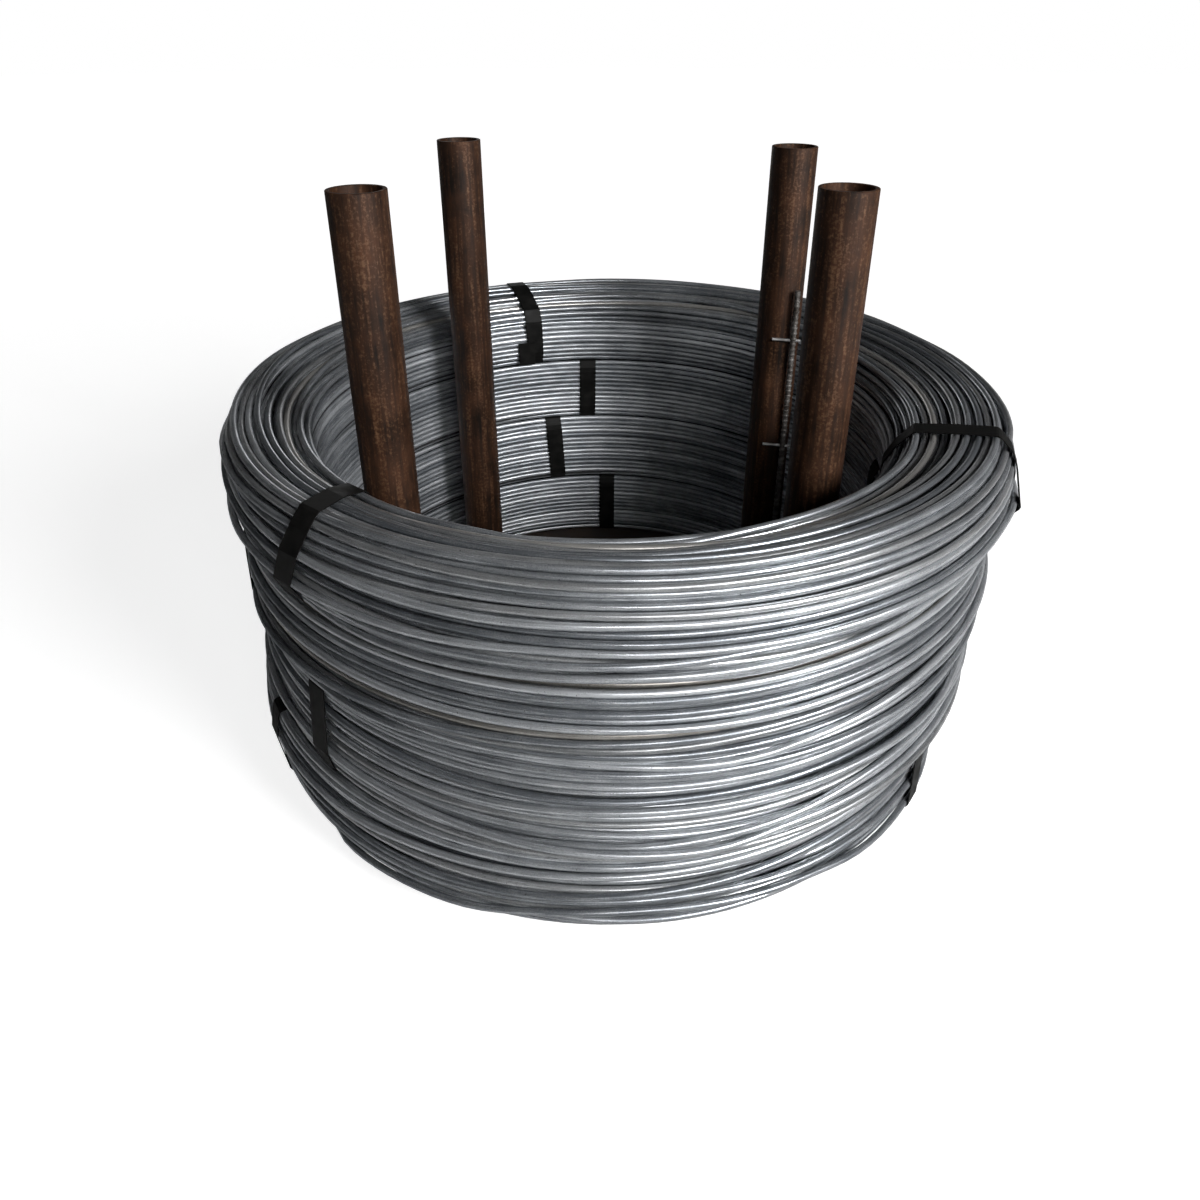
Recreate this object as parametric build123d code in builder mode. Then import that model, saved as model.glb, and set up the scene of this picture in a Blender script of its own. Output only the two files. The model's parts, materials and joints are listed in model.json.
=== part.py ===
from build123d import *
import os
from math import cos, hypot, radians, sin, sqrt

# Four strapped coils of round steel wire, stacked round the posts of a coil stand.
# Millimetres, +Z up. The origin is on the floor, at the centre of the coils' eye.

# Wire and coils
wire_diameter = 5.5
bore_diameter = 508.0
wall_thickness = 87.0
flank_bulge = 11.0
flank_shoulder = 22.0
layers_high = {
    "coil_bottom": 14,
    "coil_lower_middle": 15,
    "coil_upper_middle": 13,
    "coil_top": 15,
}

# Rounded upper end of the top coil, where the turns show in pairs, as ridges
crown_reach = 59.0
crown_inner_drop = 32.0
crown_outer_drop = 3.0
turns_per_ridge = 2
groove_depth = 2.0

# Steel strapping, three bands to a coil, at angles about the eye
strap_width = 19.0
strap_thickness = 0.8
seat_clearance = 0.3
strap_angles = {
    "coil_bottom": {"back": 88.0, "left": 212.0, "right": 322.0},
    "coil_lower_middle": {"back": 102.0, "left": 229.0, "right": 345.0},
    "coil_upper_middle": {"back": 93.5, "left": 203.0, "right": 355.0},
    "coil_top": {"back": 107.5, "left": 232.5, "right": 340.5},
}

# Stand: round base plate and four posts of steel pipe
base_inset = 40.0
base_thickness = 10.0
post_diameter = 42.4
post_wall = 3.2
post_length = 500.0
post_to_bore = 21.8
post_angles = {
    "post_rear_right": 31.0,
    "post_rear_left": 131.0,
    "post_front_left": 217.5,
    "post_front_right": 325.0,
}

# Ribbed rod that two cross pins hold beside the rear right post
rod_post = "post_rear_right"
rod_diameter = 8.0
rod_length = 370.0
rod_side_angle = 258.0
rod_offset = 15.5
pin_diameter = 3.0
pin_length = 27.5
pin_end_beyond_rod = 3.0
pin_heights = {"rod_pin_lower": 205.0, "rod_pin_upper": 320.0}

# Places worked out from the sizes above
bore_radius = bore_diameter / 2
coil_radius = bore_radius + wall_thickness
rim_radius = coil_radius - flank_bulge
base_radius = rim_radius - base_inset
post_circle_radius = bore_radius - post_to_bore - post_diameter / 2
strap_sagitta = bore_radius - sqrt(bore_radius**2 - (strap_width / 2) ** 2)
strap_gap = seat_clearance + strap_sagitta
coil_gap = strap_gap + strap_thickness + seat_clearance
top_name = list(layers_high)[-1]

os.makedirs("parts", exist_ok=True)


def coil_height(name):
    return layers_high[name] * wire_diameter


def coil_base(name):
    """Height of a coil's underside above the floor."""
    height = base_thickness + coil_gap
    for other in layers_high:
        if other == name:
            return height
        height += coil_height(other) + coil_gap


def crown_height(reach):
    """Height of the top coil's crown at a distance outwards from its bore."""
    peak = coil_base(top_name) + coil_height(top_name)
    if reach < crown_reach:
        return peak - crown_inner_drop * (1 - reach / crown_reach) ** 2
    outer_run = rim_radius - bore_radius - crown_reach
    return peak - crown_outer_drop * ((reach - crown_reach) / outer_run) ** 2


def crown_points(depth):
    """Crests of the ridges along the crown, with grooves of a depth between them."""
    end = rim_radius - bore_radius
    ridge = turns_per_ridge * wire_diameter
    points = []
    reach = 0.0
    while reach < end - ridge / 2:
        points.append((bore_radius + reach, crown_height(reach)))
        rise = crown_height(reach + ridge) - crown_height(reach)
        step = ridge * ridge / hypot(ridge, rise)
        middle = reach + step / 2
        if depth > 0 and middle < end:
            points.append((bore_radius + middle, crown_height(middle) - depth))
        reach += step
    points.append((rim_radius, crown_height(end)))
    return points


def coil_section(name, grow=0.0, grooves=False):
    """Section of a coil: X is the distance from the axis and Y the height."""
    low = coil_base(name)
    high = low + coil_height(name)
    upper_end = [(bore_radius, high), (rim_radius, high)]
    if name == top_name:
        upper_end = crown_points(groove_depth if grooves else 0.0)
    with BuildSketch() as section:
        with BuildLine():
            Polyline(
                *upper_end,
                (coil_radius, upper_end[-1][1] - flank_shoulder),
                (coil_radius, low + flank_shoulder),
                (rim_radius, low),
                (bore_radius, low),
                close=True,
            )
        make_face()
        if grow > 0:
            offset(amount=grow, kind=Kind.INTERSECTION)
    return section.sketch


def upright_plane(angle):
    """Plane through the eye's axis, with X outwards at an angle and Y upwards."""
    outwards = (cos(radians(angle)), sin(radians(angle)), 0)
    sideways = (sin(radians(angle)), -cos(radians(angle)), 0)
    return Plane(origin=(0, 0, 0), x_dir=outwards, z_dir=sideways)


def post_centre(name):
    angle = radians(post_angles[name])
    return Vector(post_circle_radius * cos(angle), post_circle_radius * sin(angle), base_thickness)


def save(shape, name):
    shape.label = name
    export_step(shape, f"parts/{name}.step")


# Coils, each turned as one solid with its bore
for coil_name in layers_high:
    with BuildPart() as coil:
        with BuildSketch(Plane.XZ):
            add(coil_section(coil_name, grooves=True))
        revolve(axis=Axis.Z)
    save(coil.part, coil_name)

# Straps, each a closed band round the section of its coil
for coil_name, angles in strap_angles.items():
    for side, angle in angles.items():
        with BuildPart() as strap:
            with BuildSketch(upright_plane(angle)):
                add(coil_section(coil_name, grow=strap_gap + strap_thickness))
                add(coil_section(coil_name, grow=strap_gap), mode=Mode.SUBTRACT)
            extrude(amount=strap_width / 2, both=True)
        save(strap.part, coil_name.replace("coil", "strap") + f"_{side}")

# Base plate
with BuildPart() as base_plate:
    with BuildSketch():
        Circle(base_radius)
    extrude(amount=base_thickness)
save(base_plate.part, "base_plate")

# Posts, open at the top
for post_name in post_angles:
    with BuildPart() as post:
        with BuildSketch(Plane(post_centre(post_name))):
            Circle(post_diameter / 2)
            Circle(post_diameter / 2 - post_wall, mode=Mode.SUBTRACT)
        extrude(amount=post_length)
    save(post.part, post_name)

# Ribbed rod and its pins, on the side of the post that faces out at rod_side_angle
facing = Vector(cos(radians(rod_side_angle)), sin(radians(rod_side_angle)), 0)
along_pin = Vector(-facing.Y, facing.X, 0)
pin_line = post_diameter / 2 + seat_clearance + pin_diameter / 2
rod_foot = post_centre(rod_post) + facing * pin_line + along_pin * rod_offset
pin_start = rod_diameter / 2 + pin_end_beyond_rod


def pin_plane(name):
    """Plane across a pin's outer end, looking along the pin."""
    end = rod_foot + along_pin * pin_start + Vector(0, 0, pin_heights[name])
    return Plane(origin=end, x_dir=(0, 0, 1), z_dir=along_pin)


with BuildPart() as ribbed_rod:
    with BuildSketch(Plane(rod_foot)):
        Circle(rod_diameter / 2)
    extrude(amount=rod_length)
    for pin_name in pin_heights:
        with BuildSketch(pin_plane(pin_name)):
            Circle(pin_diameter / 2 + seat_clearance)
        extrude(amount=-2 * pin_start, mode=Mode.SUBTRACT)
save(ribbed_rod.part, "ribbed_rod")

for pin_name in pin_heights:
    with BuildPart() as rod_pin:
        with BuildSketch(pin_plane(pin_name)):
            Circle(pin_diameter / 2)
        extrude(amount=-pin_length)
    save(rod_pin.part, pin_name)
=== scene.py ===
import json
from math import cos, radians, sin, tau

import bmesh
import bpy
import numpy as np
from mathutils import Matrix, Vector, geometry

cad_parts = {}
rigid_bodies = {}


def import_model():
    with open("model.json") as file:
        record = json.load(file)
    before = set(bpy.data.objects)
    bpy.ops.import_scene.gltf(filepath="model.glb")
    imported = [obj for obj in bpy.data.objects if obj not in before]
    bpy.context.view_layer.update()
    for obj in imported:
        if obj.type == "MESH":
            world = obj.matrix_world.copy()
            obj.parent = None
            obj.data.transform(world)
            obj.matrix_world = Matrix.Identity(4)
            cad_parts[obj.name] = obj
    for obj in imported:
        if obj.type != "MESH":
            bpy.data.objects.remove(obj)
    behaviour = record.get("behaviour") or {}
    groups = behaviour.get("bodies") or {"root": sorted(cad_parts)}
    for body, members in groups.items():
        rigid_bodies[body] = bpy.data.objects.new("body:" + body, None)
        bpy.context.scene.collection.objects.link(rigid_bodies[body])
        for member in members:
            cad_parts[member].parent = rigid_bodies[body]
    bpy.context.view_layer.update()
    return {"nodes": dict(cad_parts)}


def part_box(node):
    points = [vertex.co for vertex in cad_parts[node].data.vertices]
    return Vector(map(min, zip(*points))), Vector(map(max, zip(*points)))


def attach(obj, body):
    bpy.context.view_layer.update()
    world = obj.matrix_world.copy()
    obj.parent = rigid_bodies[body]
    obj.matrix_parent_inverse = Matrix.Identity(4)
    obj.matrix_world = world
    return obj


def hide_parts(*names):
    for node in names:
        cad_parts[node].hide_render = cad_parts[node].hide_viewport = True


bl_info = {
    "name": "Strapped wire coils",
    "version": (1, 0, 0),
    "blender": (4, 5, 0),
    "location": "View3D > Sidebar > Coils",
    "description": "Four strapped coils of zinc-coated steel wire round the posts of a coil stand",
    "category": "Object",
}

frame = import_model()
MM = 0.001

COILS = ("bottom", "lower_middle", "upper_middle", "top")
STRAP_SIDES = ("back", "left", "right")
POSTS = ("front_left", "rear_left", "rear_right", "front_right")

# How far each coil's outer turns lie off to the right of its bore, in millimetres
OUTER_SHIFT = {"bottom": 5.5, "lower_middle": 18.5, "upper_middle": 16.0, "top": 19.0}

# How much less than the solid's swell each coil's turns swell, in millimetres
SWELL_LESS = {"bottom": 10.0, "lower_middle": 11.5, "upper_middle": 8.5, "top": 0.0}

# How deep the under turns' bed lies inside the coil's surface, in wire diameters
BED_INSET = 2.0

# Lanes that a turn chooses from as it settles, how far they reach in wire diameters, what pulls it back to
# its own place and what a change of lane costs it
LANES = 33
LANE_REACH = 2.0
LANE_PULL = 0.03
LANE_CHANGE = 0.04

# How far the last turns of a bore wall stand back at its ends, in wire diameters
END_SETBACK = (0.5, 0.12, 0.0)

# How far the lower rim of a coil draws in, in millimetres
RIM_DRAWN_IN = {"bottom": 11.0}

# Radius over the ribs as a share of the solid rod's
ROD_SHARE = 0.8

# How far each strap runs to the side, in millimetres: at its coil's lower inner, lower outer, upper outer
# and upper inner edge
STRAP_SKEW = {
    ("top", "back"): (0.0, 9.5, 9.5, 1.0),
    ("top", "left"): (-14.0, -27.0, 14.0, -14.0),
    ("top", "right"): (0.0, -26.0, -26.0, 0.0),
    ("upper_middle", "back"): (0.0, 0.0, -1.0, -1.0),
    ("lower_middle", "back"): (0.0, 0.0, 5.0, 5.0),
}

# Loose end of the strap that shows its lap: how far to the side, its lowest and highest level, and how
# far inside the bore's turns it lies, in strap thicknesses
LAP = {("top", "back"): (11.0, 248.0, 275.0)}
LAP_INSET = 2.2

# Bed of the under turns: the spacing of its samples, how many of them its corners are rounded over, and
# the share of its depth that it has at its ends and how soon it reaches the rest
BED_SAMPLE = 0.5 * MM
BED_ROUNDING = 10
END_DEPTH = 0.45
END_TAPER = 18 * MM

# Outline of a flank: the shoulder as a share of the coil's height, and, in wire diameters, how far the bed's
# ends stand back from the coil's ends and how far they run in over them
SHOULDER = 0.28
EDGE_SETBACK = 0.3
EDGE_RUN = 1.5
CROWN_CORNERS = 12

# Room below the top of a coil that carries another, in wire diameters
CEILING_GAP = 0.2

# Near an end of the bed a turn has narrower lanes and strays less: within how many wire diameters, and the
# least share that is left there
LANE_ROOM = (3, 0.1)
CALM_ROOM = (2.5, 0.15)

# What it costs a turn to leave the bed, how smoothly it changes lanes and is held up, in steps round the coil
OFF_BED_COST = 20
PATH_BLUR = 6
LIFT_REACH = 3
LIFT_BLUR = 1.2

# How far turns stray, in wire diameters: bore turns together, each up and down and each outwards, under
# turns, outer turns together and the few that rove
BORE_LEAN = 0.12
BORE_SWAY = 0.05
BORE_STEP = 0.08
UNDER_WANDER = 0.10
SWAY = 0.6
ROVER_SWING = 1.4
SWAYS = 4
ROVER_PLACES = (0.72, 0.88)

# How tan an outer turn is, and how often
TAN_SHADES = (0.0, 0.12, 0.45)
TAN_SHARES = (0.7, 0.24, 0.06)

# Rings before they are laid: how many wire diameters apart. Streaks of the finish: how much their pattern is
# drawn out along the wire, and how far off it starts on each next turn, along and across
RING_PITCH = 4
STREAK_STRETCH = 1 / 22
FLOW_STEP = 0.37
ACROSS_STEP = 0.53

# Core of a coil: how deep under its turns, in wire diameters, and the points of its outline
CORE_DEPTH = 0.25
CORE_POINTS = 24

# Straps: how far beside them a turn still carries them, and their shortest straight run
STRAP_SIDE_ROOM = 1.5 * MM
STRAP_RUN = 1.2 * MM

# Posts and rod
POST_CHAMFER = 0.4 * MM
POST_SHARP = radians(30)
ROD_SHARP = radians(35)
ROD_SIDES = 20
MERGE = 0.01 * MM

# Colours that go with the finishes
TAN_COAT = (0.32, 0.27, 0.20)
DIRT = (0.03, 0.025, 0.02)
# Near-black of the coils' cores: painted shade between the turns
INSIDE_PAINTED_SHADE = ((0.004, 0.004, 0.005), (0.02, 0.02, 0.022))
WORN_LACQUER = (0.009, 0.0085, 0.008)
LACQUER_SPECK = (0.04, 0.037, 0.034)
PALE_RUST = (0.17, 0.092, 0.05)
PLATE_SHADES = ((0.010, 0.009, 0.008), (0.05, 0.028, 0.018))
PLATE_GRIT = (0.10, 0.085, 0.07)
ROD_SHADES = ((0.05, 0.042, 0.036), (0.20, 0.19, 0.18))
PIN_SHADES = ((0.22, 0.215, 0.21), (0.5, 0.5, 0.5))
FLOOR_COLOUR = (0.45, 0.45, 0.45, 1)
FILL_COLOUR = (0.92, 0.96, 1.0, 1)
WHITE = (1, 1, 1, 1)

# Stage in metres: half the floor, the backdrop's radius, from where to where the floor's own white rises to
# full, and from where it and the backdrop show in a gloss
FLOOR_HALF = 30
BACKDROP_RADIUS = 14
GLOW_RUN = (1.0, 3.0)
FLOOR_FAR = (5, 9)
BACKDROP_FAR = (9, 12)
BACKDROP_LOW = (2.5, 1.5)

# Lamps: place, width and power. All of them face one point
LAMPS = {
    "key": ((1.93, -1.80, 1.65), 1.1, 125),
    "front": ((0.70, -2.60, 1.50), 1.2, 28),
    "back": ((-0.50, 2.70, 0.55), 0.7, 3),
    "sky": ((0.2, 0.2, 2.6), 1.8, 1.6),
}
LAMP_AIM = (0, 0, 0.2)


def mesh_points(mesh):
    """Points of a mesh, as rows of x, y and z."""
    places = np.empty(len(mesh.vertices) * 3, np.float32)
    mesh.vertices.foreach_get("co", places)
    return places.reshape(-1, 3)


def node_points(node):
    """Points of a solid of the frame, as rows of x, y and z."""
    return mesh_points(frame["nodes"][node].data).astype(float)


def coil_size(coil):
    """Lowest and highest level, bore, rim and widest radius of a coil."""
    places = node_points(f"coil_{coil}")
    reach = np.hypot(places[:, 0], places[:, 1])
    low, high = places[:, 2].min(), places[:, 2].max()
    rim = reach[places[:, 2] < low + MM].max()
    return low, high, reach.min(), rim, reach.max()


def post_size(node):
    """Axis, radius, foot and top of an upright round solid."""
    low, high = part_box(node)
    return (low + high) / 2, (high.x - low.x) / 2, low.z, high.z


# Values that a user would change


class CoilSizes(bpy.types.PropertyGroup):
    """Wire and how it is wound."""

    wire: bpy.props.FloatProperty(
        name="Wire", description="Diameter of the wire", default=5.5 * MM, unit="LENGTH", precision=4
    )
    steps: bpy.props.IntProperty(
        name="Steps", description="Steps round each turn of wire", default=144, min=24
    )
    sides: bpy.props.IntProperty(
        name="Sides", description="Sides of the wire's section", default=8, min=5
    )
    crown_reach: bpy.props.FloatProperty(
        name="Crown reach",
        description="From the bore to the highest turns of the top coil",
        default=59 * MM,
        unit="LENGTH",
    )
    crown_inner_drop: bpy.props.FloatProperty(
        name="Crown inner drop",
        description="How far the top coil's upper end falls towards its bore",
        default=32 * MM,
        unit="LENGTH",
    )
    crown_outer_drop: bpy.props.FloatProperty(
        name="Crown outer drop",
        description="How far the top coil's upper end falls towards its rim",
        default=3 * MM,
        unit="LENGTH",
    )
    under_spacing: bpy.props.FloatProperty(
        name="Under spacing", description="Spacing of the under turns, in wire diameters", default=1.02
    )
    outer_spacing: bpy.props.FloatProperty(
        name="Outer spacing", description="Spacing of the outer turns, in wire diameters", default=1.12
    )
    wander: bpy.props.FloatProperty(
        name="Wander", description="How far the outer turns stray, in wire diameters", default=0.3
    )
    rovers: bpy.props.IntProperty(
        name="Rovers", description="Turns of each coil that stray far over the others", default=2
    )
    seed: bpy.props.IntProperty(name="Seed", description="Seed of the winding", default=20)


class StrapSizes(bpy.types.PropertyGroup):
    """Steel straps round the coils."""

    width: bpy.props.FloatProperty(
        name="Width", description="Width of a strap", default=19 * MM, unit="LENGTH"
    )
    thickness: bpy.props.FloatProperty(
        name="Thickness", description="Thickness of a strap", default=0.8 * MM, unit="LENGTH", precision=4
    )
    gap: bpy.props.FloatProperty(
        name="Gap", description="Room between strap and wire", default=0.25 * MM, unit="LENGTH", precision=5
    )


class StandSizes(bpy.types.PropertyGroup):
    """Posts and the ribbed rod."""

    post_wall: bpy.props.FloatProperty(
        name="Post wall", description="Wall of the post's pipe", default=3.2 * MM, unit="LENGTH", precision=4
    )
    post_sides: bpy.props.IntProperty(name="Post sides", description="Sides of a post", default=96)
    rib_pitch: bpy.props.FloatProperty(
        name="Rib pitch", description="From rib to rib", default=5.5 * MM, unit="LENGTH", precision=4
    )
    rib_depth: bpy.props.FloatProperty(
        name="Rib depth", description="Height of the rod's ribs", default=0.6 * MM, unit="LENGTH", precision=4
    )


class Finishes(bpy.types.PropertyGroup):
    """Colours of the finishes."""

    zinc: bpy.props.FloatVectorProperty(
        name="Zinc", description="Lit zinc coat", default=(0.62, 0.64, 0.665), size=3, subtype="COLOR"
    )
    zinc_dull: bpy.props.FloatVectorProperty(
        name="Dull zinc", description="Dull zinc coat", default=(0.17, 0.183, 0.20), size=3, subtype="COLOR"
    )
    lacquer: bpy.props.FloatVectorProperty(
        name="Lacquer",
        description="Black lacquer of the straps",
        default=(0.004, 0.004, 0.0038),
        size=3,
        subtype="COLOR",
    )
    rust_dark: bpy.props.FloatVectorProperty(
        name="Dark rust",
        description="Dark rust of the posts",
        default=(0.010, 0.006, 0.0042),
        size=3,
        subtype="COLOR",
    )
    rust_bright: bpy.props.FloatVectorProperty(
        name="Bright rust",
        description="Bright rust of the posts",
        default=(0.075, 0.029, 0.012),
        size=3,
        subtype="COLOR",
    )


class Studio(bpy.types.PropertyGroup):
    """Camera, lamps and floor."""

    lens: bpy.props.FloatProperty(name="Lens", description="Focal length in millimetres", default=26.49)
    camera_back: bpy.props.FloatProperty(
        name="Camera back", description="Camera's distance from the axis", default=0.7536, unit="LENGTH"
    )
    camera_height: bpy.props.FloatProperty(
        name="Camera height", description="Camera's height above the floor", default=0.6118, unit="LENGTH"
    )
    camera_pitch: bpy.props.FloatProperty(
        name="Camera pitch",
        description="How far the camera looks down",
        default=radians(26.26),
        subtype="ANGLE",
    )
    camera_shift: bpy.props.FloatProperty(
        name="Camera shift",
        description="Upward shift of the picture, as a share of its width",
        default=-0.1175,
    )
    floor_glow: bpy.props.FloatProperty(
        name="Floor glow",
        description="How much the camera sees the floor's own white near the coils",
        default=0.8,
    )
    fill: bpy.props.FloatProperty(name="Fill", description="Light from all round", default=0.012)


# Materials


def new_material(name):
    material = bpy.data.materials.new(name)
    material.use_nodes = True
    tree = material.node_tree
    shader = tree.nodes["Principled BSDF"]
    return material, tree, shader


def add_node(tree, kind, **settings):
    """New shader node. A setting is a property of the node, or a value of the input of that name."""
    made = tree.nodes.new(kind)
    for name, value in settings.items():
        label = name.replace("_", " ").title()
        if hasattr(made, name):
            setattr(made, name, value)
        else:
            made.inputs[label].default_value = value
    return made


def noise(tree, source, scale, detail=3.0, roughness=0.55, stretch=None):
    """Noise over a source of coordinates, stretched by a scale for each axis."""
    made = add_node(tree, "ShaderNodeTexNoise")
    made.inputs["Scale"].default_value = scale
    made.inputs["Detail"].default_value = detail
    made.inputs["Roughness"].default_value = roughness
    if stretch:
        mapping = add_node(tree, "ShaderNodeMapping")
        mapping.inputs["Scale"].default_value = stretch
        tree.links.new(source, mapping.inputs["Vector"])
        source = mapping.outputs["Vector"]
    tree.links.new(source, made.inputs["Vector"])
    return made.outputs["Fac"]


def ramp(tree, source, low, high, to_low=0.0, to_high=1.0):
    """Part of a value's range, spread over another range."""
    made = add_node(tree, "ShaderNodeMapRange")
    for name, value in zip(("From Min", "From Max", "To Min", "To Max"), (low, high, to_low, to_high)):
        made.inputs[name].default_value = value
    tree.links.new(source, made.inputs["Value"])
    return made.outputs["Result"]


def maths(tree, operation, first, second):
    """Result of a sum with two values, each a number or an output."""
    made = add_node(tree, "ShaderNodeMath", operation=operation)
    for place, value in enumerate((first, second)):
        if isinstance(value, (int, float)):
            made.inputs[place].default_value = value
        else:
            tree.links.new(value, made.inputs[place])
    return made.outputs["Value"]


def mix(tree, amount, first, second):
    """Colour between two colours, by an amount."""
    made = add_node(tree, "ShaderNodeMix", data_type="RGBA")
    tree.links.new(amount, made.inputs["Factor"])
    for name, value in (("A", first), ("B", second)):
        socket = next(s for s in made.inputs if s.name == name and s.type == "RGBA")
        if isinstance(value, bpy.types.NodeSocket):
            tree.links.new(value, socket)
        else:
            socket.default_value = (*value, 1)
    return next(s for s in made.outputs if s.type == "RGBA")


def bump(tree, height, strength, distance, after=None):
    """Normal of a fine relief, on top of another where one is given."""
    made = add_node(tree, "ShaderNodeBump")
    made.inputs["Strength"].default_value = strength
    made.inputs["Distance"].default_value = distance
    tree.links.new(height, made.inputs["Height"])
    if after:
        tree.links.new(after, made.inputs["Normal"])
    return made.outputs["Normal"]


def attribute(tree, name):
    return add_node(tree, "ShaderNodeAttribute", attribute_name=name)


def object_coordinates(tree):
    return add_node(tree, "ShaderNodeTexCoord").outputs["Object"]


def split(tree, source):
    """Outputs X, Y and Z of a vector."""
    made = add_node(tree, "ShaderNodeSeparateXYZ")
    tree.links.new(source, made.inputs["Vector"])
    return made.outputs


def wire_material():
    """Zinc-coated drawn wire: long dull and bright streaks, small specks, each turn a little different.

    The tone of a turn holds its brightness, how tan it is, and 1 for the turns of the bore, which are rougher
    and a little darker; that darkening is painted shade of the bore.
    """
    looks = bpy.context.scene.coil_finishes
    material, tree, shader = new_material("zinc_wire")
    flow = attribute(tree, "flow").outputs["Vector"]
    across = attribute(tree, "across").outputs["Fac"]
    tone = split(tree, attribute(tree, "tone").outputs["Vector"])
    place = object_coordinates(tree)

    streaks = add_node(tree, "ShaderNodeTexNoise", noise_dimensions="4D")
    streaks.inputs["Scale"].default_value = 900
    streaks.inputs["Detail"].default_value = 3
    tree.links.new(flow, streaks.inputs["Vector"])
    tree.links.new(across, streaks.inputs["W"])
    clouds = noise(tree, place, 45, detail=2)
    specks = noise(tree, place, 650, detail=1)

    grain = noise(tree, place, 1500, detail=2, roughness=0.7)
    shine = ramp(tree, streaks.outputs["Fac"], 0.3, 0.72)
    shine = maths(tree, "ADD", maths(tree, "MULTIPLY", shine, 0.6), maths(tree, "MULTIPLY", clouds, 0.45))
    shine = maths(tree, "ADD", shine, maths(tree, "MULTIPLY", tone["X"], 0.2))
    shine = maths(tree, "ADD", shine, ramp(tree, grain, 0.3, 0.7, -0.22, 0.22))
    # Turns of the bore are a little darker: painted shade inside the bore
    shine = maths(tree, "SUBTRACT", shine, maths(tree, "MULTIPLY", tone["Z"], 0.06))
    shine = ramp(tree, shine, 0.12, 0.95)
    colour = mix(tree, shine, looks.zinc_dull, looks.zinc)
    colour = mix(tree, tone["Y"], colour, TAN_COAT)
    dirt = ramp(tree, specks, 0.74, 0.80)
    colour = mix(tree, dirt, colour, DIRT)
    tree.links.new(colour, shader.inputs["Base Color"])
    shader.inputs["Metallic"].default_value = 0.8
    rough = ramp(tree, streaks.outputs["Fac"], 0.25, 0.75, 0.39, 0.23)
    rough = maths(tree, "ADD", rough, maths(tree, "MULTIPLY", tone["Z"], 0.17))
    rough = maths(tree, "ADD", rough, maths(tree, "MULTIPLY", dirt, 0.3))
    tree.links.new(rough, shader.inputs["Roughness"])
    tree.links.new(bump(tree, streaks.outputs["Fac"], 0.25, 0.0002), shader.inputs["Normal"])
    return material


def painted_shade_material():
    """Inside of a coil, seen only between turns: near-black painted shade where the deeper zinc turns lie."""
    material, tree, shader = new_material("coil_inside_painted_shade")
    clouds = noise(tree, object_coordinates(tree), 60)
    tree.links.new(mix(tree, clouds, *INSIDE_PAINTED_SHADE), shader.inputs["Base Color"])
    shader.inputs["Roughness"].default_value = 0.9
    return material


def strap_material():
    """Black lacquered steel strap with worn patches, specks and faint scratches."""
    looks = bpy.context.scene.coil_finishes
    material, tree, shader = new_material("black_strap")
    place = object_coordinates(tree)
    clouds = noise(tree, place, 90)
    fine = noise(tree, place, 900, detail=2)
    colour = mix(tree, ramp(tree, clouds, 0.4, 0.75), looks.lacquer, WORN_LACQUER)
    colour = mix(tree, ramp(tree, fine, 0.74, 0.8), colour, LACQUER_SPECK)
    tree.links.new(colour, shader.inputs["Base Color"])
    tree.links.new(ramp(tree, clouds, 0.3, 0.7, 0.42, 0.6), shader.inputs["Roughness"])
    shader.inputs["Specular IOR Level"].default_value = 0.08
    tree.links.new(bump(tree, fine, 0.12, 0.0001), shader.inputs["Normal"])
    return material


def post_material():
    """Old steel pipe with dark rust, orange upright streaks and a scaly skin."""
    looks = bpy.context.scene.coil_finishes
    material, tree, shader = new_material("rusty_pipe")
    place = object_coordinates(tree)
    streaks = noise(tree, place, 1, detail=6, roughness=0.65, stretch=(210, 210, 12))
    patches = noise(tree, place, 30, detail=6, roughness=0.7)
    scale = noise(tree, place, 420, detail=4, roughness=0.6)
    rust = maths(tree, "ADD", maths(tree, "MULTIPLY", streaks, 0.6), maths(tree, "MULTIPLY", patches, 0.5))
    rust = ramp(tree, rust, 0.42, 0.78)
    colour = mix(tree, rust, looks.rust_dark, looks.rust_bright)
    pale = ramp(tree, maths(tree, "MULTIPLY", streaks, scale), 0.27, 0.46, 0.0, 0.7)
    colour = mix(tree, pale, colour, PALE_RUST)
    tree.links.new(colour, shader.inputs["Base Color"])
    shader.inputs["Metallic"].default_value = 0.3
    shader.inputs["Specular IOR Level"].default_value = 0.3
    tree.links.new(ramp(tree, patches, 0.3, 0.7, 0.42, 0.66), shader.inputs["Roughness"])
    fine = bump(tree, scale, 0.35, 0.0004)
    tree.links.new(bump(tree, patches, 0.2, 0.001, after=fine), shader.inputs["Normal"])
    return material


def base_material():
    """Dark, oily steel plate with rust and dust."""
    material, tree, shader = new_material("dark_plate")
    place = object_coordinates(tree)
    patches = noise(tree, place, 14, detail=6, roughness=0.65)
    grit = noise(tree, place, 500, detail=2)
    colour = mix(tree, ramp(tree, patches, 0.4, 0.7), *PLATE_SHADES)
    colour = mix(tree, ramp(tree, grit, 0.72, 0.8), colour, PLATE_GRIT)
    tree.links.new(colour, shader.inputs["Base Color"])
    tree.links.new(ramp(tree, patches, 0.3, 0.7, 0.6, 0.85), shader.inputs["Roughness"])
    tree.links.new(bump(tree, grit, 0.3, 0.0004), shader.inputs["Normal"])
    return material


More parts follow.
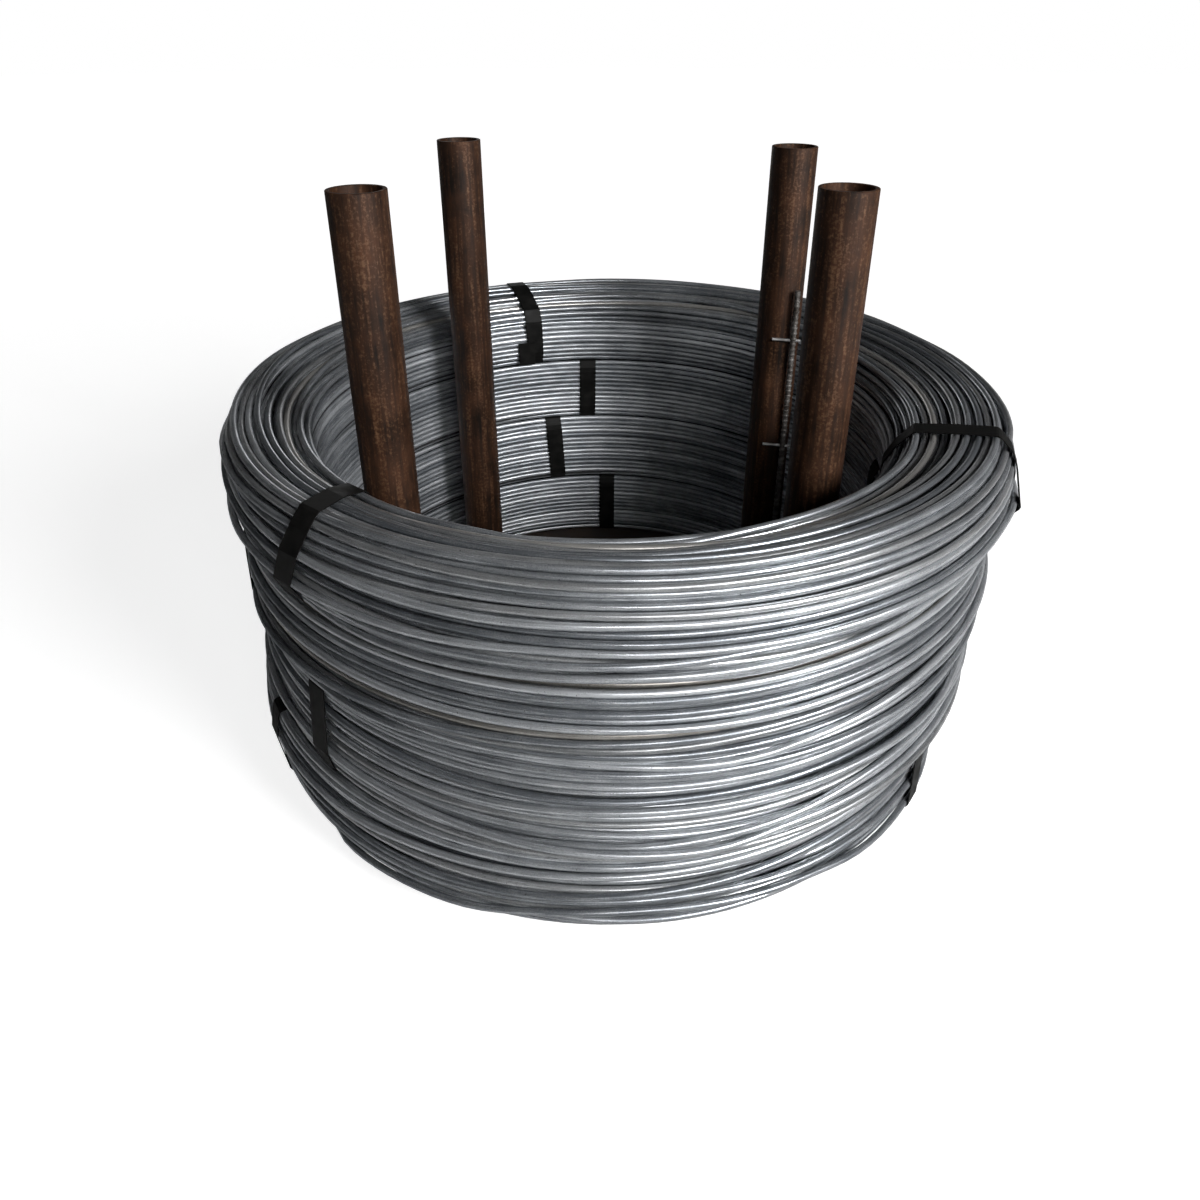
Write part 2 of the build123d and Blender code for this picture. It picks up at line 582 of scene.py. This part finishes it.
def steel_material(name, dull, rubbed):
    """Dull grey steel, brighter where it is rubbed."""
    material, tree, shader = new_material(name)
    place = object_coordinates(tree)
    clouds = noise(tree, place, 120, detail=4)
    fine = noise(tree, place, 700, detail=2)
    colour = mix(tree, ramp(tree, clouds, 0.35, 0.65), dull, rubbed)
    tree.links.new(colour, shader.inputs["Base Color"])
    shader.inputs["Metallic"].default_value = 0.7
    tree.links.new(ramp(tree, fine, 0.3, 0.7, 0.35, 0.6), shader.inputs["Roughness"])
    tree.links.new(bump(tree, fine, 0.2, 0.0002), shader.inputs["Normal"])
    return material


def finished(piece, material, slot, *nodes):
    """Gives a piece its finish, its body and the solids that it stands for."""
    piece.data.materials.clear()
    piece.data.materials.append(material)
    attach(piece, "root")
    if nodes:
        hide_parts(*nodes)


def piece_from(working, name, smooth=True):
    """Turns a bmesh into an object at the origin."""
    mesh = bpy.data.meshes.new(name)
    working.to_mesh(mesh)
    working.free()
    for face in mesh.polygons:
        face.use_smooth = smooth
    piece = bpy.data.objects.new(name, mesh)
    bpy.context.scene.collection.objects.link(piece)
    return piece


def closed_line(working, points):
    """Closed line of edges through a few points."""
    corners = [working.verts.new(point) for point in points]
    return [working.edges.new((a, b)) for a, b in zip(corners, corners[1:] + corners[:1])]


# Winding


def blur_weights(width):
    """Reach of a blur of a width, and its weights from one side to the other."""
    reach = int(3 * width)
    weights = np.exp(-0.5 * (np.arange(-reach, reach + 1) / width) ** 2)
    return reach, weights / weights.sum()


def blurred(values, width):
    """Values along a line, smoothed over a width in samples, with both ends kept."""
    reach, weights = blur_weights(width)
    head = 2 * values[0] - values[reach:0:-1]
    tail = 2 * values[-1] - values[-2 : -reach - 2 : -1]
    return np.convolve(np.concatenate((head, values, tail)), weights, "valid")


def blurred_round(values, width):
    """Values round the coil, smoothed over a width in steps."""
    reach, weights = blur_weights(width)
    return sum(weight * np.roll(values, step) for weight, step in zip(weights, range(-reach, reach + 1)))


class Bed:
    """Line that the under turns of a coil lie on, in its section, with the way out at each place."""

    def __init__(self, corners, inset, from_bore=False):
        corners = np.array(corners)
        runs = np.hypot(*np.diff(corners, axis=0).T)
        along = np.concatenate(([0], np.cumsum(runs)))
        fine = np.arange(0, along[-1], BED_SAMPLE)
        radius = blurred(np.interp(fine, along, corners[:, 0]), BED_ROUNDING)
        height = blurred(np.interp(fine, along, corners[:, 1]), BED_ROUNDING)
        run_r, run_z = np.gradient(radius), np.gradient(height)
        length = np.hypot(run_r, run_z)
        out_r, out_z = -run_z / length, run_r / length
        depth = inset * np.clip(END_DEPTH + (fine[-1] - fine) / END_TAPER, 0, 1)
        if not from_bore:
            depth = depth * np.clip(END_DEPTH + fine / END_TAPER, 0, 1)
        radius, height = radius - depth * out_r, height - depth * out_z
        runs = np.hypot(np.diff(radius), np.diff(height))
        self.along = np.concatenate(([0], np.cumsum(runs)))
        self.length = self.along[-1]
        self.columns = (radius, height, out_r, out_z)

    def at(self, places):
        """Radius, height and way out at places along the bed."""
        return [np.interp(places, self.along, column) for column in self.columns]


class Winding:
    """Turns of one coil, each laid on those before it."""

    def __init__(self, coil, sizes, seed):
        self.low, self.high, self.bore, self.rim, self.widest = coil_size(coil)
        self.widest -= SWELL_LESS[coil] * MM
        self.wire = sizes.wire
        self.ceiling = None if coil == "top" else self.high - CEILING_GAP * self.wire
        self.angles = np.arange(sizes.steps) * tau / sizes.steps
        self.spread = OUTER_SHIFT[coil] * MM * np.cos(self.angles) / (self.widest - self.bore)
        self.random = np.random.default_rng(seed)
        self.turns = []
        self.tones = []

    def drift(self, size, orders):
        """Smooth closed wander round the coil."""
        total = np.zeros_like(self.angles)
        for order in orders:
            swing = self.random.normal(0, size / order**0.8)
            total += swing * np.cos(order * self.angles + self.random.uniform(0, tau))
        return total

    def keep(self, radius, height, tan=0.0, dull=0.0):
        """Adds a turn as it lies, with its tone."""
        self.turns.append((radius, height))
        self.tones.append((self.random.normal(0, 1), tan, dull))

    def lift(self, radius, height, out_r, out_z):
        """How far out of its bed a turn is held by the turns that are there."""
        held = np.zeros_like(radius)
        by_step = (-1, *(1,) * (radius.ndim - 1))
        for other_radius, other_height in self.turns:
            off_r = radius - other_radius.reshape(by_step)
            off_z = height - other_height.reshape(by_step)
            toward = off_r * out_r + off_z * out_z
            left = toward**2 - off_r**2 - off_z**2 + self.wire**2
            held = np.maximum(held, np.where(left > 0, np.sqrt(np.maximum(left, 0)) - toward, 0))
        return held

    def places(self, bed, along):
        """Radius, height and way out at places on the bed, for each step round the coil."""
        radius, height, out_r, out_z = bed.at(np.clip(along, 0, bed.length))
        wider = (1 + self.spread).reshape(-1, *(1,) * (along.ndim - 1))
        return self.bore + (radius - self.bore) * wider, height, out_r, out_z

    def settled(self, bed, target):
        """Line near a target that keeps to the hollows between turns, as a pulled wire does."""
        room = self.end_room(bed, target.mean(), *LANE_ROOM)
        lanes = np.linspace(-LANE_REACH, LANE_REACH, LANES) * self.wire * room
        along = target[:, None] + lanes
        beyond = np.maximum(0, -along) + np.maximum(0, along - bed.length)
        lifted = self.lift(*self.places(bed, along))
        costs = (lifted**2 + LANE_PULL * lanes**2) / self.wire + OFF_BED_COST * beyond
        start = int(np.argmin(costs.min(axis=1)))
        costs = np.roll(costs, -start, axis=0)
        first = int(np.argmin(costs[0]))
        total = np.where(np.arange(LANES) == first, costs[0], np.inf)
        came_from = []
        turning = LANE_CHANGE * self.wire
        for row in costs[1:]:
            padded = np.concatenate(([np.inf], total, [np.inf]))
            choices = np.stack((padded[:-2] + turning, padded[1:-1], padded[2:] + turning))
            pick = np.argmin(choices, axis=0)
            came_from.append(pick - 1)
            total = choices[pick, np.arange(LANES)] + row
        near = np.abs(np.arange(LANES) - first) <= 1
        lane = int(np.argmin(np.where(near, total, np.inf)))
        path = [lane]
        for moves in reversed(came_from):
            lane += moves[lane]
            path.append(lane)
        path = np.roll(lanes[np.array(path[::-1])], start)
        return target + blurred_round(path, PATH_BLUR)

    def lay(self, bed, along, tan=0.0, settle=True):
        """Lays a turn along a line on the bed, pressed down on what is there."""
        if settle:
            along = self.settled(bed, along)
        radius, height, out_r, out_z = self.places(bed, along)
        held = self.lift(radius, height, out_r, out_z)
        near = range(-LIFT_REACH, LIFT_REACH + 1)
        held = blurred_round(np.max([np.roll(held, step) for step in near], axis=0), LIFT_BLUR)
        level = np.clip(height + held * out_z, self.low + 0.5 * self.wire, self.ceiling)
        self.keep(radius + held * out_r, level, tan)

    def end_room(self, bed, place, reach, least):
        """Share of its freedom that a turn has at a place on the bed, less near the bed's ends."""
        return np.clip(min(place, bed.length - place) / (reach * self.wire), least, 1)

    def calmed(self, bed, place, wander):
        """Line of a turn whose wander dies away towards the ends of the bed."""
        return place + wander * self.end_room(bed, place, *CALM_ROOM)

    def wind_bore(self, top):
        """Neat turns of the bore wall, from the coil's underside up."""
        count = round((top - self.low) / self.wire)
        lean = self.drift(BORE_LEAN * self.wire, (1, 2, 3))
        for place in range(count):
            height = self.low + (place + 0.5) * self.wire
            from_end = min(place, count - 1 - place, 2)
            sway = from_end / 2 * (lean + self.drift(BORE_SWAY * self.wire, (1, 2, 3, 4, 5)))
            step_out = np.abs(self.drift(BORE_STEP * self.wire, (1, 2, 3, 4)))
            step_out = step_out + END_SETBACK[from_end] * self.wire
            # Bore turns get the dull tone: rougher, and a little darker as painted shade
            self.keep(self.bore + self.wire / 2 + step_out, height + sway, dull=1.0)

    def wind_outside(self, bed, sizes):
        """Under turns side by side, then looser outer turns and a few that stray far."""
        count = int(bed.length / (sizes.under_spacing * self.wire))
        for place in (np.arange(count) + 0.5) * bed.length / count:
            wander = self.drift(UNDER_WANDER * self.wire, (1, 2, 3))
            self.lay(bed, self.calmed(bed, place, wander), settle=False)
        count = int(bed.length / (sizes.outer_spacing * self.wire))
        places = (np.arange(count) + 0.5) * bed.length / count
        sways = [self.drift(SWAY * self.wire, (1, 2, 3)) for _ in range(SWAYS)]
        for place in self.random.permutation(places):
            share = place / bed.length * (len(sways) - 1)
            first = min(int(share), len(sways) - 2)
            common = sways[first] * (1 - share + first) + sways[first + 1] * (share - first)
            wander = common + self.drift(sizes.wander * self.wire, (1, 2, 3, 4))
            tan = self.random.choice(TAN_SHADES, p=TAN_SHARES)
            self.lay(bed, self.calmed(bed, place, wander), tan)
        for _ in range(sizes.rovers):
            place = self.random.uniform(*ROVER_PLACES) * bed.length
            self.lay(bed, self.calmed(bed, place, self.drift(ROVER_SWING * self.wire, (1, 2, 3))))


def flank_corners(winding, top, drawn_in=0.0):
    """Outer side of a coil, from its top down: rim, swell and rim."""
    shoulder = SHOULDER * (winding.high - winding.low)
    foot = winding.low + EDGE_SETBACK * winding.wire
    run = EDGE_RUN * winding.wire
    return [
        (winding.rim - run, top),
        (winding.rim, top),
        (winding.widest, top - shoulder),
        (winding.widest, winding.low + shoulder),
        (winding.rim - drawn_in, foot),
        (winding.rim - drawn_in - run, foot),
    ]


def crown_corners(winding, sizes):
    """Upper end of the top coil, from its bore out to its rim."""
    end = winding.rim - winding.bore
    corners = []
    for reach in np.linspace(0, end, CROWN_CORNERS):
        if reach < sizes.crown_reach:
            drop = sizes.crown_inner_drop * (1 - reach / sizes.crown_reach) ** 2
        else:
            beyond = (reach - sizes.crown_reach) / (end - sizes.crown_reach)
            drop = sizes.crown_outer_drop * beyond**2
        corners.append((winding.bore + reach, winding.high - drop))
    return corners


def spun(working, steps, axis_at=(0, 0, 0)):
    """Spins the outline in a bmesh right round an upright axis and turns its faces outwards."""
    bmesh.ops.spin(
        working,
        geom=working.verts[:] + working.edges[:],
        cent=axis_at,
        axis=(0, 0, 1),
        angle=tau,
        steps=steps,
        use_merge=True,
    )
    bmesh.ops.recalc_face_normals(working, faces=working.faces)


def wire_mesh(name, winding, sizes):
    """Closed turns of round wire, spun as plain rings side by side and then laid on their paths."""
    ring_radius, ring_pitch = winding.bore, RING_PITCH * winding.wire
    rings = bmesh.new()
    for place in range(len(winding.turns)):
        upright = Matrix.Translation((ring_radius, 0, place * ring_pitch)) @ Matrix.Rotation(tau / 4, 4, "X")
        bmesh.ops.create_circle(
            rings, cap_ends=False, segments=sizes.sides, radius=winding.wire / 2, matrix=upright
        )
    spun(rings, sizes.steps)
    piece = piece_from(rings, name)

    mesh = piece.data
    places = mesh_points(mesh).astype(float)
    turn = np.rint(places[:, 2] / ring_pitch).astype(int)
    angle = np.arctan2(places[:, 1], places[:, 0])
    step = np.rint(angle / tau * sizes.steps).astype(int) % sizes.steps
    out = np.hypot(places[:, 0], places[:, 1]) - ring_radius
    up = places[:, 2] - turn * ring_pitch
    paths = np.array(winding.turns)
    radius = paths[turn, 0, step] + out
    laid = np.stack((radius * np.cos(angle), radius * np.sin(angle), paths[turn, 1, step] + up), axis=1)
    mesh.vertices.foreach_set("co", laid.astype(np.float32).ravel())

    reach = ring_radius * STREAK_STRETCH
    flow = np.stack((reach * np.cos(angle), reach * np.sin(angle), out + turn * FLOW_STEP), axis=1)
    tones = np.array(winding.tones)[turn]
    for label, values in (("flow", flow), ("tone", tones)):
        made = mesh.attributes.new(label, "FLOAT_VECTOR", "POINT")
        made.data.foreach_set("vector", values.astype(np.float32).ravel())
    made = mesh.attributes.new("across", "FLOAT", "POINT")
    made.data.foreach_set("value", (up + turn * ACROSS_STEP).astype(np.float32))
    mesh.update()
    return piece


def core_mesh(name, winding, outline):
    """Ring inside the visible turns, with its outside shifted as theirs is."""
    working = bmesh.new()
    closed_line(working, [(radius, 0, height) for radius, height in outline])
    spun(working, len(winding.angles))
    for vert in working.verts:
        radius, angle = vert.co.xy.length, np.arctan2(vert.co.y, vert.co.x) % tau
        spread = np.interp(angle, winding.angles, winding.spread, period=tau)
        wider = winding.bore + (radius - winding.bore) * (1 + spread)
        vert.co.xy *= wider / radius
    return piece_from(working, name, smooth=False)


def wound_coil(coil, sizes, seed):
    """Winding of a coil and the bed that its outside is wound on."""
    winding = Winding(coil, sizes, seed)
    wire = winding.wire
    inset = BED_INSET * wire
    if coil == "top":
        crown = crown_corners(winding, sizes)
        winding.wind_bore(crown[0][1] - wire)
        bed = Bed(crown + flank_corners(winding, crown[-1][1])[2:], inset, from_bore=True)
    else:
        winding.wind_bore(winding.high)
        drawn_in = RIM_DRAWN_IN.get(coil, 0.0) * MM
        bed = Bed(flank_corners(winding, winding.high - EDGE_SETBACK * wire, drawn_in), inset)
    winding.wind_outside(bed, sizes)
    return winding, bed


def lay_floor_turns(winding):
    """Flat turns on the underside of a coil, from its bore wall out."""
    wire = winding.wire
    for reach in np.arange(winding.bore + 1.5 * wire, winding.rim - 1.5 * wire, wire):
        radius = winding.bore + (reach - winding.bore) * (1 + winding.spread)
        winding.keep(radius, np.full_like(radius, winding.low + 0.5 * wire))


def core_outline(winding, bed):
    """Outline of a coil's core: down its outside under the turns, and back up behind the bore wall."""
    deep = CORE_DEPTH * winding.wire
    inner = winding.bore + 0.5 * winding.wire + deep
    foot = winding.low + 0.5 * winding.wire
    radius, height, out_r, out_z = bed.columns
    picks = np.linspace(0, len(radius) - 1, CORE_POINTS).astype(int)
    outline = [(radius[i] - deep * out_r[i], height[i] - deep * out_z[i]) for i in picks]
    outline = [point for point in outline if point[0] > inner]
    return outline + [(outline[-1][0], foot), (inner, foot), (inner, outline[0][1])]


class AddCoils(bpy.types.Operator):
    """Winds the four coils turn by turn, each over a plain core in near-black painted shade"""

    bl_idname = "coils.add_coils"
    bl_label = "Add coils"

    def execute(self, context):
        sizes = context.scene.coil_sizes
        zinc, inside = wire_material(), painted_shade_material()
        for place, coil in enumerate(COILS):
            winding, bed = wound_coil(coil, sizes, sizes.seed + place)
            if coil == "bottom":
                lay_floor_turns(winding)
            turns = wire_mesh(f"turns_{coil}", winding, sizes)
            finished(turns, zinc, "wire", f"coil_{coil}")
            # Core under the turns, in near-black painted shade
            core = core_mesh(f"core_{coil}", winding, core_outline(winding, bed))
            finished(core, inside, "wire")
        return {"FINISHED"}


def strap_line(coil, angle, skew, width, gap):
    """Line of a strap round its coil, in the upright plane at an angle: distance out and height."""
    places = mesh_points(bpy.data.objects[f"turns_{coil}"].data)
    out = places[:, 0] * cos(angle) + places[:, 1] * sin(angle)
    side = places[:, 1] * cos(angle) - places[:, 0] * sin(angle)
    near = (out > 0) & (np.abs(side - skew(out, places[:, 2])) < width / 2 + STRAP_SIDE_ROOM)
    section = [Vector((float(a), float(b))) for a, b in zip(out[near], places[near, 2])]
    hull = [section[i] for i in geometry.convex_hull_2d(section)]
    tidy = [hull[0]]
    for point in hull[1:]:
        if (point - tidy[-1]).length > STRAP_RUN:
            tidy.append(point)
    line = []
    for before, point, after in zip(tidy[-1:] + tidy[:-1], tidy, tidy[1:] + tidy[:1]):
        run = (after - before).normalized()
        line.append(point + gap * Vector((run.y, -run.x)))
    return line


def strap_skew(coil, side):
    """Sideways run of a strap, by the distance out and the height."""
    low, high, bore, _, widest = coil_size(coil)
    corners = [value * MM for value in STRAP_SKEW.get((coil, side), (0.0, 0.0, 0.0, 0.0))]

    def skew(out, height):
        across = np.clip((out - bore) / (widest - bore), 0, 1)
        up = np.clip((height - low) / (high - low), 0, 1)
        lower = corners[0] * (1 - across) + corners[1] * across
        upper = corners[3] * (1 - across) + corners[2] * across
        return lower * (1 - up) + upper * up

    return skew


def add_strap(coil, side, material):
    """Strap that is pulled tight round its coil, with its loose end where a lap shows."""
    sizes = bpy.context.scene.strap_sizes
    node = f"strap_{coil}_{side}"
    middle = node_points(node).mean(axis=0)
    angle = float(np.arctan2(middle[1], middle[0]))
    skew = strap_skew(coil, side)
    line = strap_line(coil, angle, skew, sizes.width, sizes.gap)
    outward, sideways = Vector((cos(angle), sin(angle), 0)), Vector((-sin(angle), cos(angle), 0))

    def place(point, across):
        run = float(skew(point.x, point.y))
        return outward * point.x + sideways * (across + run) + Vector((0, 0, point.y))

    working = bmesh.new()
    edges = closed_line(working, [place(point, -sizes.width / 2) for point in line])
    made = bmesh.ops.extrude_edge_only(working, edges=edges)
    moved = [item for item in made["geom"] if isinstance(item, bmesh.types.BMVert)]
    bmesh.ops.translate(working, vec=sideways * sizes.width, verts=moved)
    bmesh.ops.recalc_face_normals(working, faces=working.faces)
    away = Vector(middle)
    if sum(face.normal.dot(face.calc_center_median() - away) for face in working.faces) < 0:
        bmesh.ops.reverse_faces(working, faces=working.faces)
    bmesh.ops.solidify(working, geom=working.faces[:], thickness=-sizes.thickness)
    if (coil, side) in LAP:
        across, low, high = (value * MM for value in LAP[coil, side])
        inner = min(point.x for point in line) - LAP_INSET * sizes.thickness
        centre = outward * inner + sideways * across + Vector((0, 0, (low + high) / 2))
        size = Matrix.Diagonal((sizes.thickness, sizes.width, high - low, 1))
        turn = Matrix.Rotation(angle, 4, "Z")
        bmesh.ops.create_cube(working, size=1, matrix=Matrix.Translation(centre) @ turn @ size)
    bmesh.ops.recalc_face_normals(working, faces=working.faces)
    band = piece_from(working, f"band_{coil}_{side}", smooth=False)
    finished(band, material, "strapping", node)


class AddStraps(bpy.types.Operator):
    """Pulls three black steel straps round each coil"""

    bl_idname = "coils.add_straps"
    bl_label = "Add straps"

    def execute(self, context):
        material = strap_material()
        for coil in COILS:
            for side in STRAP_SIDES:
                add_strap(coil, side, material)
        return {"FINISHED"}


def turned(working, steps, centre, name, sharp):
    """Piece turned from the outline in a bmesh, with its poles closed and its edges kept sharp."""
    spun(working, steps, (centre.x, centre.y, 0))
    bmesh.ops.remove_doubles(working, verts=working.verts, dist=MERGE)
    bmesh.ops.recalc_face_normals(working, faces=working.faces)
    piece = piece_from(working, name)
    piece.data.set_sharp_from_angle(angle=sharp)
    return piece


class AddPosts(bpy.types.Operator):
    """Stands the four rusty pipes in the coils' eye"""

    bl_idname = "coils.add_posts"
    bl_label = "Add posts"

    def execute(self, context):
        sizes = context.scene.stand_sizes
        material = post_material()
        edge = POST_CHAMFER
        for post in POSTS:
            centre, outer, foot, top = post_size(f"post_{post}")
            inner = outer - sizes.post_wall
            outline = [
                (inner, foot),
                (outer, foot),
                (outer, top - edge),
                (outer - edge, top),
                (inner + edge, top),
                (inner, top - edge),
            ]
            working = bmesh.new()
            closed_line(working, [(centre.x + reach, centre.y, height) for reach, height in outline])
            pipe = turned(working, sizes.post_sides, centre, f"pipe_{post}", POST_SHARP)
            finished(pipe, material, "post_pipe", f"post_{post}")
        return {"FINISHED"}


class AddRod(bpy.types.Operator):
    """Adds the ribbed rod beside the rear right post and finishes its pins"""

    bl_idname = "coils.add_rod"
    bl_label = "Add ribbed rod"

    def execute(self, context):
        sizes = context.scene.stand_sizes
        material = steel_material("grey_rod", *ROD_SHADES)
        centre, outer, foot, top = post_size("ribbed_rod")
        outer = ROD_SHARE * outer
        inner = outer - sizes.rib_depth
        outline = [(0, foot), (inner, foot)]
        level = foot + sizes.rib_pitch / 2
        quarter = sizes.rib_pitch / 4
        rib = ((inner, -quarter), (outer, -quarter / 2), (outer, quarter / 2), (inner, quarter))
        while level < top - sizes.rib_pitch / 2:
            outline += [(reach, level + up) for reach, up in rib]
            level += sizes.rib_pitch
        outline += [(inner, top), (0, top)]
        working = bmesh.new()
        corners = [working.verts.new((centre.x + reach, centre.y, height)) for reach, height in outline]
        for first, second in zip(corners, corners[1:]):
            working.edges.new((first, second))
        bar = turned(working, ROD_SIDES, centre, "ribbed_bar", ROD_SHARP)
        finished(bar, material, "rod", "ribbed_rod")
        pin_material = steel_material("bright_pin", *PIN_SHADES)
        for pin in ("rod_pin_lower", "rod_pin_upper"):
            dress_node(pin, pin_material)
        return {"FINISHED"}


def dress_node(node, material):
    """Puts a finish on a solid of the frame that is shown as it is."""
    solid = frame["nodes"][node]
    for slot in solid.material_slots:
        slot.material = material


class FinishBase(bpy.types.Operator):
    """Finishes the plate that the coils and posts stand on"""

    bl_idname = "coils.finish_base"
    bl_label = "Finish base plate"

    def execute(self, context):
        dress_node("base_plate", base_material())
        return {"FINISHED"}


# Stage


def seen_white(tree, far):
    """Amount that is 1 for the camera, and in a gloss or through glass for what lies far off."""
    rays = tree.nodes.new("ShaderNodeLightPath").outputs
    other = maths(tree, "MAXIMUM", rays["Is Glossy Ray"], rays["Is Transmission Ray"])
    return maths(tree, "MAXIMUM", rays["Is Camera Ray"], maths(tree, "MULTIPLY", other, far))


def add_lamp(name, place, size, power):
    """Round soft lamp that faces the coils."""
    lamp = bpy.data.lights.new(name, "AREA")
    lamp.shape = "DISK"
    lamp.size = size
    lamp.energy = power
    made = bpy.data.objects.new(name, lamp)
    made.location = place
    made.rotation_euler = (Vector(LAMP_AIM) - Vector(place)).to_track_quat("-Z", "Y").to_euler()
    bpy.context.scene.collection.objects.link(made)


def add_floor():
    """Pale floor that keeps the shadow, with a white of its own that the camera sees."""
    studio = bpy.context.scene.coil_studio
    working = bmesh.new()
    bmesh.ops.create_grid(working, x_segments=1, y_segments=1, size=FLOOR_HALF)
    floor = piece_from(working, "floor", smooth=False)
    material, tree, shader = new_material("pale_floor")
    shader.inputs["Base Color"].default_value = FLOOR_COLOUR
    shader.inputs["Roughness"].default_value = 0.9
    shader.inputs["Specular IOR Level"].default_value = 0.1
    reach = add_node(tree, "ShaderNodeVectorMath", operation="LENGTH")
    tree.links.new(object_coordinates(tree), reach.inputs[0])
    far = ramp(tree, split(tree, object_coordinates(tree))["Y"], *FLOOR_FAR)
    rise = ramp(tree, reach.outputs["Value"], *GLOW_RUN, studio.floor_glow, 1.0)
    glow = maths(tree, "MULTIPLY", seen_white(tree, far), rise)
    shader.inputs["Emission Color"].default_value = WHITE
    tree.links.new(glow, shader.inputs["Emission Strength"])
    floor.data.materials.append(material)


def add_backdrop():
    """White backdrop that the camera sees all round, and a gloss only where it stands behind the coils."""
    working = bmesh.new()
    bmesh.ops.create_uvsphere(working, u_segments=48, v_segments=24, radius=BACKDROP_RADIUS)
    below = [vert for vert in working.verts if vert.co.z < -0.01]
    bmesh.ops.delete(working, geom=below, context="VERTS")
    backdrop = piece_from(working, "backdrop")
    material = bpy.data.materials.new("white_backdrop")
    material.use_nodes = True
    tree = material.node_tree
    tree.nodes.remove(tree.nodes["Principled BSDF"])
    place = split(tree, object_coordinates(tree))
    behind = maths(
        tree, "MULTIPLY", ramp(tree, place["Y"], *BACKDROP_FAR), ramp(tree, place["Z"], *BACKDROP_LOW)
    )
    clear = tree.nodes.new("ShaderNodeBsdfTransparent")
    white = add_node(tree, "ShaderNodeEmission", strength=1.0)
    white.inputs["Color"].default_value = WHITE
    blend = tree.nodes.new("ShaderNodeMixShader")
    tree.links.new(seen_white(tree, behind), blend.inputs["Fac"])
    tree.links.new(clear.outputs["BSDF"], blend.inputs[1])
    tree.links.new(white.outputs["Emission"], blend.inputs[2])
    tree.links.new(blend.outputs["Shader"], tree.nodes["Material Output"].inputs["Surface"])
    backdrop.data.materials.append(material)


def add_world():
    """Faint even light from all round."""
    studio = bpy.context.scene.coil_studio
    world = bpy.data.worlds.new("studio")
    bpy.context.scene.world = world
    world.use_nodes = True
    fill = world.node_tree.nodes["Background"]
    fill.inputs["Color"].default_value = FILL_COLOUR
    fill.inputs["Strength"].default_value = studio.fill


def add_camera():
    """Camera at the photograph's viewing angle."""
    studio = bpy.context.scene.coil_studio
    camera = bpy.data.cameras.new("camera")
    camera.lens = studio.lens
    camera.sensor_width = 36
    camera.shift_y = studio.camera_shift
    camera.clip_start = 0.01
    made = bpy.data.objects.new("camera", camera)
    made.location = (0, -studio.camera_back, studio.camera_height)
    made.rotation_euler = (tau / 4 - studio.camera_pitch, 0, 0)
    bpy.context.scene.collection.objects.link(made)
    bpy.context.scene.camera = made


class AddStudio(bpy.types.Operator):
    """Adds the floor, the soft lamps and the camera"""

    bl_idname = "coils.add_studio"
    bl_label = "Add studio"

    def execute(self, context):
        context.scene.view_settings.view_transform = "Standard"
        add_floor()
        add_world()
        add_backdrop()
        for name, (place, size, power) in LAMPS.items():
            add_lamp(name, place, size, power)
        add_camera()
        return {"FINISHED"}


STEPS = (AddCoils, AddStraps, AddPosts, AddRod, FinishBase, AddStudio)


class CoilPanel(bpy.types.Panel):
    """Lists the steps that build the coils"""

    bl_idname = "VIEW3D_PT_strapped_coils"
    bl_label = "Strapped wire coils"
    bl_space_type = "VIEW_3D"
    bl_region_type = "UI"
    bl_category = "Coils"

    def draw(self, context):
        for step in STEPS:
            self.layout.operator(step.bl_idname)


GROUPS = {
    "coil_sizes": CoilSizes,
    "strap_sizes": StrapSizes,
    "stand_sizes": StandSizes,
    "coil_finishes": Finishes,
    "coil_studio": Studio,
}


def register():
    for kind in (*GROUPS.values(), *STEPS, CoilPanel):
        bpy.utils.register_class(kind)
    for name, group in GROUPS.items():
        setattr(bpy.types.Scene, name, bpy.props.PointerProperty(type=group))


def unregister():
    for name in GROUPS:
        delattr(bpy.types.Scene, name)
    for kind in (CoilPanel, *STEPS, *GROUPS.values()):
        bpy.utils.unregister_class(kind)


def main():
    register()
    for step in STEPS:
        family, name = step.bl_idname.split(".")
        getattr(getattr(bpy.ops, family), name)()


if __name__ == "__main__":
    main()
